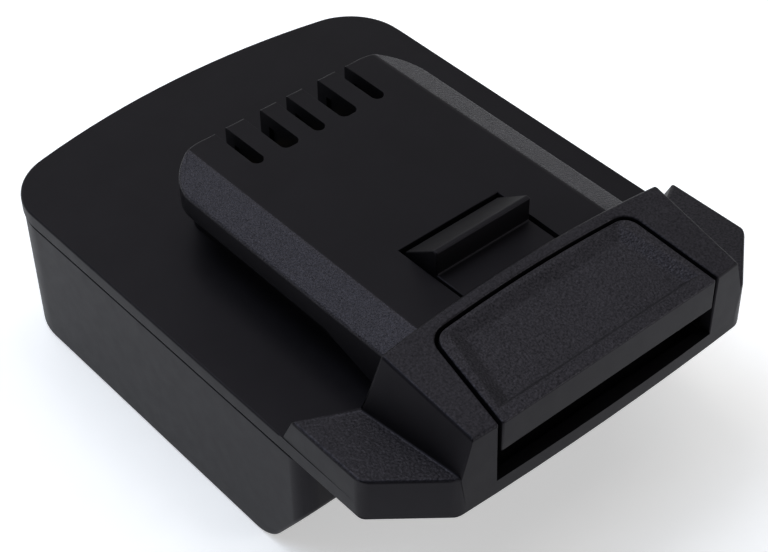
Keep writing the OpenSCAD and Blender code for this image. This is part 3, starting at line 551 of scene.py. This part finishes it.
def close_step(piece):
    """Closes the step at the wings' cut front corners, and narrows it to a ledge along the sides."""
    take_up(piece)
    bpy.ops.object.mode_set(mode="EDIT")
    bpy.ops.mesh.select_mode(type="VERT")
    bpy.ops.mesh.select_all(action="DESELECT")
    mesh = bmesh.from_edit_mesh(piece.data)
    for vertex in mesh.verts:
        x, y = abs(vertex.co.x) / MM, vertex.co.y / MM
        vertex.select_set(near(x, PLATE_X - WING_STEP) and y < WING_FOOT_Y + MARGIN)
    mesh.select_flush_mode()
    bmesh.update_edit_mesh(piece.data)
    to_ledge = (PLATE_X - WING_LEDGE) / (PLATE_X - WING_STEP)
    bpy.ops.transform.resize(value=(to_ledge, 1, 1), center_override=(0, 0, 0))
    for vertex in mesh.verts:
        vertex.select_set(vertex.select and abs(vertex.co.y / MM - NOSE_CUT_Y) < 2 * WING_STEP)
    mesh.select_flush_mode()
    bmesh.update_edit_mesh(piece.data)
    to_plate = PLATE_X / (PLATE_X - WING_LEDGE)
    bpy.ops.transform.resize(value=(to_plate, 1, 1), center_override=(0, 0, 0))
    bpy.ops.transform.translate(value=(0, -WING_STEP * MM, 0))
    bpy.ops.mesh.select_all(action="SELECT")
    bpy.ops.mesh.remove_doubles(threshold=STEP_MERGE_GAP)
    bpy.ops.mesh.dissolve_degenerate(threshold=MERGE_GAP)
    bpy.ops.mesh.dissolve_limited(angle_limit=FLAT_ANGLE)
    bpy.ops.object.mode_set(mode="OBJECT")


cover = working_copy("upper_cover", "cover_shell")
close_step(cover)
for split_y in (WING_TIP_Y, WING_FOOT_Y, *PLATE_TAPER_Y):
    split_across(cover, split_y)
finish_faces(cover, [smooth_moulding, grained_moulding, bevel_moulding], cover_finish)
round_edges(cover, cover_radius, WING_CORNER_R)
smooth(cover, MOULDING_SMOOTH)
dress(cover, "housing", "cover_plastic", "upper_cover")


# Housing: the box with the battery receiver; its edge radii in millimetres

UNDERSIDE_R = 0.6
RECESS_RIM_R = 0.2
MOUTH_R = 0.35
SEAM_R = 0.2
SLOPE_R = 0.6
SLOPE_INNER_R = 0.3
CASE_FRONT_R = 0.3
LIP_R = 0.4


def housing_radius(edge):
    x, y, z = abs(edge.mid.x), edge.mid.y, edge.mid.z
    if edge.bend < SHARP_BEND:
        return 0
    if near(z, 0):
        if edge.faces_out():
            return UNDERSIDE_R
        at_mouth = near(x, MOUTH_X) or y > MOUTH_END_Y and x < MOUTH_X
        return MOUTH_R if at_mouth else RECESS_RIM_R
    if near(z, SEAM_STEP_Z):
        return SEAM_R
    if y < RECEIVER_Y + FRONT_SLOPE_BAND and z < FRONT_FOOT_Z + TOUCH:
        return SLOPE_R if x > RECEIVER_WALL_X else SLOPE_INNER_R
    if near(y, CASE_FRONT_Y) and z < DECK_Z + TOUCH:
        return CASE_FRONT_R
    if near(z, LIP_Z) and near(x, MOUTH_X):
        return LIP_R
    return 0


SCREW_HEAD_R = 2.7 * MM
screws_low, screws_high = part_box("housing_screws")
housing = working_copy("lower_housing", "housing_shell")
split_across(housing, (screws_low.y + SCREW_HEAD_R) / MM)
split_across(housing, (screws_high.y - SCREW_HEAD_R) / MM)
finish_faces(housing, [smooth_moulding], lambda middle, normal: 0)
round_edges(housing, housing_radius, UNDERSIDE_R)
smooth(housing, MOULDING_SMOOTH)
dress(housing, "housing", "housing_plastic", "lower_housing")


# Latch: release button with its dish, and the hook; its edge radii in millimetres

BUTTON_R = 0.3
BUTTON_FRONT_R = 0.35
DISH_RIM_R = 0.2
DISH_RIM_FRONT_R = 0.1
DISH_FLOOR_R = 0.3
DISH_FLOOR_FRONT_R = 0.12
HOOK_R = 0.22
HOOK_FOOT_R = 0.3


def button_radius(edge, y, z):
    """Rounding of the button's edges and of the dish in its top."""
    over_crown = z - crown_top(y)
    at_front = y < NOSE_FRONT_Y + DISH_FRONT_BAND and abs(edge.along.x) > ALONG_X
    if edge.bend < -SHARP_BEND:
        in_dish = -DISH_DEPTH - TOUCH < over_crown < -TOUCH
        if not in_dish:
            return 0
        return DISH_FLOOR_FRONT_R if at_front else DISH_FLOOR_R
    if edge.bend < SHARP_BEND:
        return 0
    if abs(over_crown) < TOUCH:
        on_slopes = all(normal.z > TILTED for normal in edge.normals)
        if not on_slopes:
            return BUTTON_R
        return DISH_RIM_FRONT_R if at_front else DISH_RIM_R
    on_front = y < NOSE_FRONT_Y + BUTTON_FRONT_BAND and z > BUTTON_FOOT_Z - TOUCH
    return BUTTON_FRONT_R if on_front else 0


def latch_radius(edge):
    y, z = edge.mid.y, edge.mid.z
    if y < POCKET_Y:
        return button_radius(edge, y, z)
    if z > LATCH_PLATE_Z - TOUCH and y > CROWN_FOOT_Y:
        return HOOK_R if edge.bend > SHARP_BEND else HOOK_FOOT_R if edge.bend < -SHARP_BEND else 0
    return 0


def latch_finish(middle, normal):
    """0 is smooth, 1 is the button's grain."""
    y, z = middle.y, middle.z
    on_button = y < POCKET_Y and z > crown_top(y) - MARGIN
    return 1 if on_button and normal.z > BUTTON_FACES_UP else 0


latch = working_copy("release_latch", "latch_shell")
finish_faces(latch, [smooth_moulding, button_moulding], latch_finish)
round_edges(latch, latch_radius, BUTTON_FRONT_R)
smooth(latch, MOULDING_SMOOTH)
dress(latch, "latch", "latch_plastic", "release_latch")


# Latch springs: round wire wound from one ring

SPRING_TURNS = 6
SPRING_WIRE = 0.6 * MM
WIRE_SIDES = 10
STEPS_PER_TURN = 28
spring_steel = metal("spring_steel", (0.6, 0.61, 0.63), (0.42, 0.42, 0.43), rough=0.28)


def latch_spring(node, name):
    low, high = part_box(node)
    height = high.z - low.z
    coil_r = (high.x - low.x - SPRING_WIRE) / 2
    deselect_all()
    bpy.ops.mesh.primitive_circle_add(vertices=WIRE_SIDES, radius=SPRING_WIRE / 2,
                                      location=(coil_r, 0, 0), rotation=(math.pi / 2, 0, 0))
    spring = bpy.context.object
    settle(spring, name)
    apply_modifier(spring, "Winding", "SCREW", angle=2 * math.pi, iterations=SPRING_TURNS,
                   screw_offset=(height - SPRING_WIRE) / SPRING_TURNS, steps=STEPS_PER_TURN,
                   render_steps=STEPS_PER_TURN, use_merge_vertices=False)
    bpy.ops.object.mode_set(mode="EDIT")
    bpy.ops.mesh.select_all(action="SELECT")
    bpy.ops.mesh.fill_holes(sides=0)
    bpy.ops.mesh.select_all(action="SELECT")
    bpy.ops.mesh.normals_make_consistent(inside=False)
    bpy.ops.object.mode_set(mode="OBJECT")
    spring.location = ((low.x + high.x) / 2, (low.y + high.y) / 2, low.z + SPRING_WIRE / 2)
    settle(spring, name)
    smooth(spring, WIRE_SMOOTH)
    spring.data.materials.append(spring_steel)
    dress(spring, "housing", "spring_steel", node)
    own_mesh(spring)


latch_spring("latch_spring_left", "latch_spring_coil_left")
latch_spring("latch_spring_right", "latch_spring_coil_right")


# Housing screws: pan heads with a cross recess, sunk in the underside

SCREW_SIDES = 32
SCREW_HEAD_H = 2.0 * MM
SCREW_HEAD_ROUND = 0.9 * MM
SCREW_HEAD_STEPS = 4
SCREW_SHANK_R = 1.5 * MM
SCREW_SHANK_L = 18.0 * MM
SCREW_TIP_SHARE = 0.3
RECESS_W = 0.8 * MM
RECESS_L = 3.0 * MM
RECESS_DEPTH = 1.2 * MM
RECESS_FOOT_SHARE = 0.55
SAME_HEIGHT = 0.001 * MM
BETWEEN_ROWS_Y = 10 * MM
screw_zinc = metal("screw_zinc", (0.46, 0.47, 0.49), (0.3, 0.3, 0.31), rough=0.34)


def flat_faces(piece, height):
    """Selects the flat faces at a height, in the piece's own mesh."""
    bpy.ops.object.mode_set(mode="EDIT")
    bpy.ops.mesh.select_mode(type="FACE")
    bpy.ops.mesh.select_all(action="DESELECT")
    mesh = bmesh.from_edit_mesh(piece.data)
    for face in mesh.faces:
        at_height = abs(face.calc_center_median().z - height) < SAME_HEIGHT
        face.select_set(at_height and abs(face.normal.z) > LEVEL)
    bmesh.update_edit_mesh(piece.data)


def recess_bars():
    """Two crossed bars that narrow towards the foot of the recess."""
    bars = []
    for turn in (0, math.pi / 2):
        deselect_all()
        bpy.ops.mesh.primitive_cube_add(size=1, rotation=(0, 0, turn))
        bar = bpy.context.object
        bar.scale = (RECESS_L, RECESS_W, 2 * RECESS_DEPTH)
        settle(bar, "recess_bar")
        flat_faces(bar, RECESS_DEPTH)
        bpy.ops.transform.resize(value=(RECESS_FOOT_SHARE, RECESS_FOOT_SHARE, 1))
        bpy.ops.object.mode_set(mode="OBJECT")
        bars.append(bar)
    return bars


def extrude_up(height):
    bpy.ops.mesh.extrude_region_move(TRANSFORM_OT_translate={"value": (0, 0, height)})


def first_screw():
    deselect_all()
    bpy.ops.mesh.primitive_cylinder_add(vertices=SCREW_SIDES, radius=SCREW_HEAD_R,
                                        depth=SCREW_HEAD_H, location=(0, 0, SCREW_HEAD_H / 2))
    screw = bpy.context.object
    settle(screw, "housing_screw")
    flat_faces(screw, SCREW_HEAD_H)
    bpy.ops.mesh.inset(thickness=SCREW_HEAD_R - SCREW_SHANK_R)
    extrude_up(SCREW_SHANK_L - SCREW_SHANK_R)
    extrude_up(SCREW_SHANK_R)
    bpy.ops.transform.resize(value=(SCREW_TIP_SHARE, SCREW_TIP_SHARE, 1))
    flat_faces(screw, 0.0)
    bpy.ops.mesh.bevel(offset=SCREW_HEAD_ROUND, segments=SCREW_HEAD_STEPS, affect="EDGES")
    bpy.ops.object.mode_set(mode="OBJECT")
    for bar in recess_bars():
        apply_modifier(screw, "Recess", "BOOLEAN", operation="DIFFERENCE", object=bar,
                       solver="EXACT")
        bpy.data.objects.remove(bar)
    return screw


def middle_of(values):
    return (min(values) + max(values)) / 2


def housing_screws():
    """Copies of one screw, each at the middle of a packed one."""
    screw = first_screw()
    points = [vertex.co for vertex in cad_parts["housing_screws"].data.vertices]
    corners = [(left, front) for left in (True, False) for front in (True, False)]
    for number, (left, front) in enumerate(corners, 1):
        mine = [co for co in points if (co.x < 0) == left and (co.y <= BETWEEN_ROWS_Y) == front]
        x = middle_of([co.x for co in mine])
        y = middle_of([co.y for co in mine])
        copy = screw.copy()
        copy.data = screw.data.copy()
        bpy.context.scene.collection.objects.link(copy)
        copy.location = (x, y, screws_low.z)
        settle(copy, f"housing_screw_{number}")
        smooth(copy, SCREW_SMOOTH)
        copy.data.materials.append(screw_zinc)
        dress(copy, "housing", "screw_steel", "housing_screws")
    bpy.data.objects.remove(screw)


housing_screws()


# Battery terminals: carrier and blades, with broken edges

CARRIER_R = 0.25
BLADE_R = 0.12
ALONG_STRIP = (4, 0.25, 4)
blade_brass = metal("blade_brass", (0.66, 0.5, 0.26), (0.5, 0.36, 0.17), 0.3, ALONG_STRIP)
clip_brass = metal("clip_brass", (0.2, 0.14, 0.07), (0.1, 0.07, 0.035), 0.42, ALONG_STRIP)


def broken_edges(node, name, material, slot, radius):
    piece = working_copy(node, name)
    piece.data.materials.append(material)
    round_edges(piece, lambda edge: radius if edge.bend > BLADE_BEND else 0, radius)
    smooth(piece, MOULDING_SMOOTH)
    dress(piece, "housing", slot, node)


broken_edges("battery_terminal_block", "blade_carrier", inner_moulding, "terminal_plastic", CARRIER_R)
for pole in ("positive", "negative", "signal"):
    broken_edges(f"{pole}_blade", f"{pole}_blade_stamping", blade_brass, "blade_brass", BLADE_R)


# Pieces inside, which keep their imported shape

KEPT_NODES = {
    "tool_terminal_block": inner_moulding,
    "positive_clip": clip_brass,
    "negative_clip": clip_brass,
    "signal_clip_left": clip_brass,
    "signal_clip_centre": clip_brass,
    "signal_clip_right": clip_brass,
    "circuit_board": solder_mask(),
    "id_resistor": resistor_lacquer(),
    "board_screws": screw_zinc,
    "positive_lead": lead_skin("lead_red_skin", (0.35, 0.02, 0.015)),
    "negative_lead": lead_skin("lead_black_skin", (0.015, 0.015, 0.016)),
    "signal_lead": lead_skin("lead_white_skin", (0.68, 0.66, 0.6)),
}
for node, material in KEPT_NODES.items():
    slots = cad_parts[node].data.materials
    slots.clear()
    slots.append(material)


# Floor, light and camera, in metres and degrees

FLOOR_WIDTH = 8
FLOOR_DROP = 0.02 * MM
ROOM_GREY = (0.06, 0.06, 0.06, 1)
LAMP_DISTANCE = 1.0
LAMP_WIDTH = 0.7
WHITE = (1, 1, 1)
COOL_WHITE = (0.8, 0.97, 1.22)
CAMERA_AZIMUTH = -40.06
CAMERA_ELEVATION = 42.61
CAMERA_ROLL = -1.12
CAMERA_AIM = (0.00235, -0.0002, 0.015)
CAMERA_DISTANCE = 0.29917
CAMERA_NEAR = 0.01
LENS_MM = 87.6
SENSOR_MM = 36


def paper_floor():
    deselect_all()
    bpy.ops.mesh.primitive_plane_add(size=FLOOR_WIDTH)
    floor = bpy.context.object
    floor.location.z = -FLOOR_DROP
    settle(floor, "paper_floor")
    floor.data.materials.append(floor_paper())


def studio_world():
    """Dim grey room."""
    world = bpy.data.worlds.new("studio_world")
    bpy.context.scene.world = world
    world.use_nodes = True
    world.node_tree.nodes["Background"].inputs["Color"].default_value = ROOM_GREY


def soft_box(name, direction, power, colour=WHITE):
    """Square soft box that looks at the adapter from a direction."""
    lamp = bpy.data.lights.new(name, "AREA")
    lamp.size = LAMP_WIDTH
    lamp.energy = power
    lamp.color = colour
    box = bpy.data.objects.new(name, lamp)
    bpy.context.scene.collection.objects.link(box)
    towards = Vector(direction).normalized()
    box.location = LAMP_DISTANCE * towards
    box.rotation_euler = towards.to_track_quat("Z", "Y").to_euler()


def photo_camera():
    """Camera at the viewing angle, distance and lens fitted to the reference view."""
    azimuth = math.radians(CAMERA_AZIMUTH)
    elevation = math.radians(CAMERA_ELEVATION)
    roll = math.radians(CAMERA_ROLL)
    right = Vector((math.cos(azimuth), math.sin(azimuth), 0))
    back = Vector((math.sin(azimuth) * math.cos(elevation),
                   -math.cos(azimuth) * math.cos(elevation), math.sin(elevation)))
    up = back.cross(right)
    side = math.cos(roll) * right + math.sin(roll) * up
    top = math.cos(roll) * up - math.sin(roll) * right
    data = bpy.data.cameras.new("photo_camera")
    data.lens = LENS_MM
    data.sensor_width = SENSOR_MM
    data.sensor_fit = "HORIZONTAL"
    data.clip_start = CAMERA_NEAR
    camera = bpy.data.objects.new("photo_camera", data)
    bpy.context.scene.collection.objects.link(camera)
    place = Vector(CAMERA_AIM) + CAMERA_DISTANCE * back
    turn = Matrix((side, top, back)).transposed().to_4x4()
    camera.matrix_world = Matrix.Translation(place) @ turn
    bpy.context.scene.camera = camera


paper_floor()
studio_world()
soft_box("rear_left_box", (-0.332, 0.332, 0.883), power=2.6, colour=COOL_WHITE)
soft_box("low_rear_left_box", (-0.654, 0.563, 0.451), power=0.7)
soft_box("rear_box", (0, 0.469, 0.883), power=3.2)
soft_box("right_box", (0.469, 0, 0.883), power=1.9)
soft_box("low_front_right_box", (0.686, -0.686, 0.242), power=3.89)
soft_box("low_rear_right_box", (0.686, 0.686, 0.242), power=1.0)
soft_box("low_rear_box", (0, 0.97, 0.242), power=0.98)
photo_camera()
bpy.context.scene.view_settings.view_transform = "Standard"
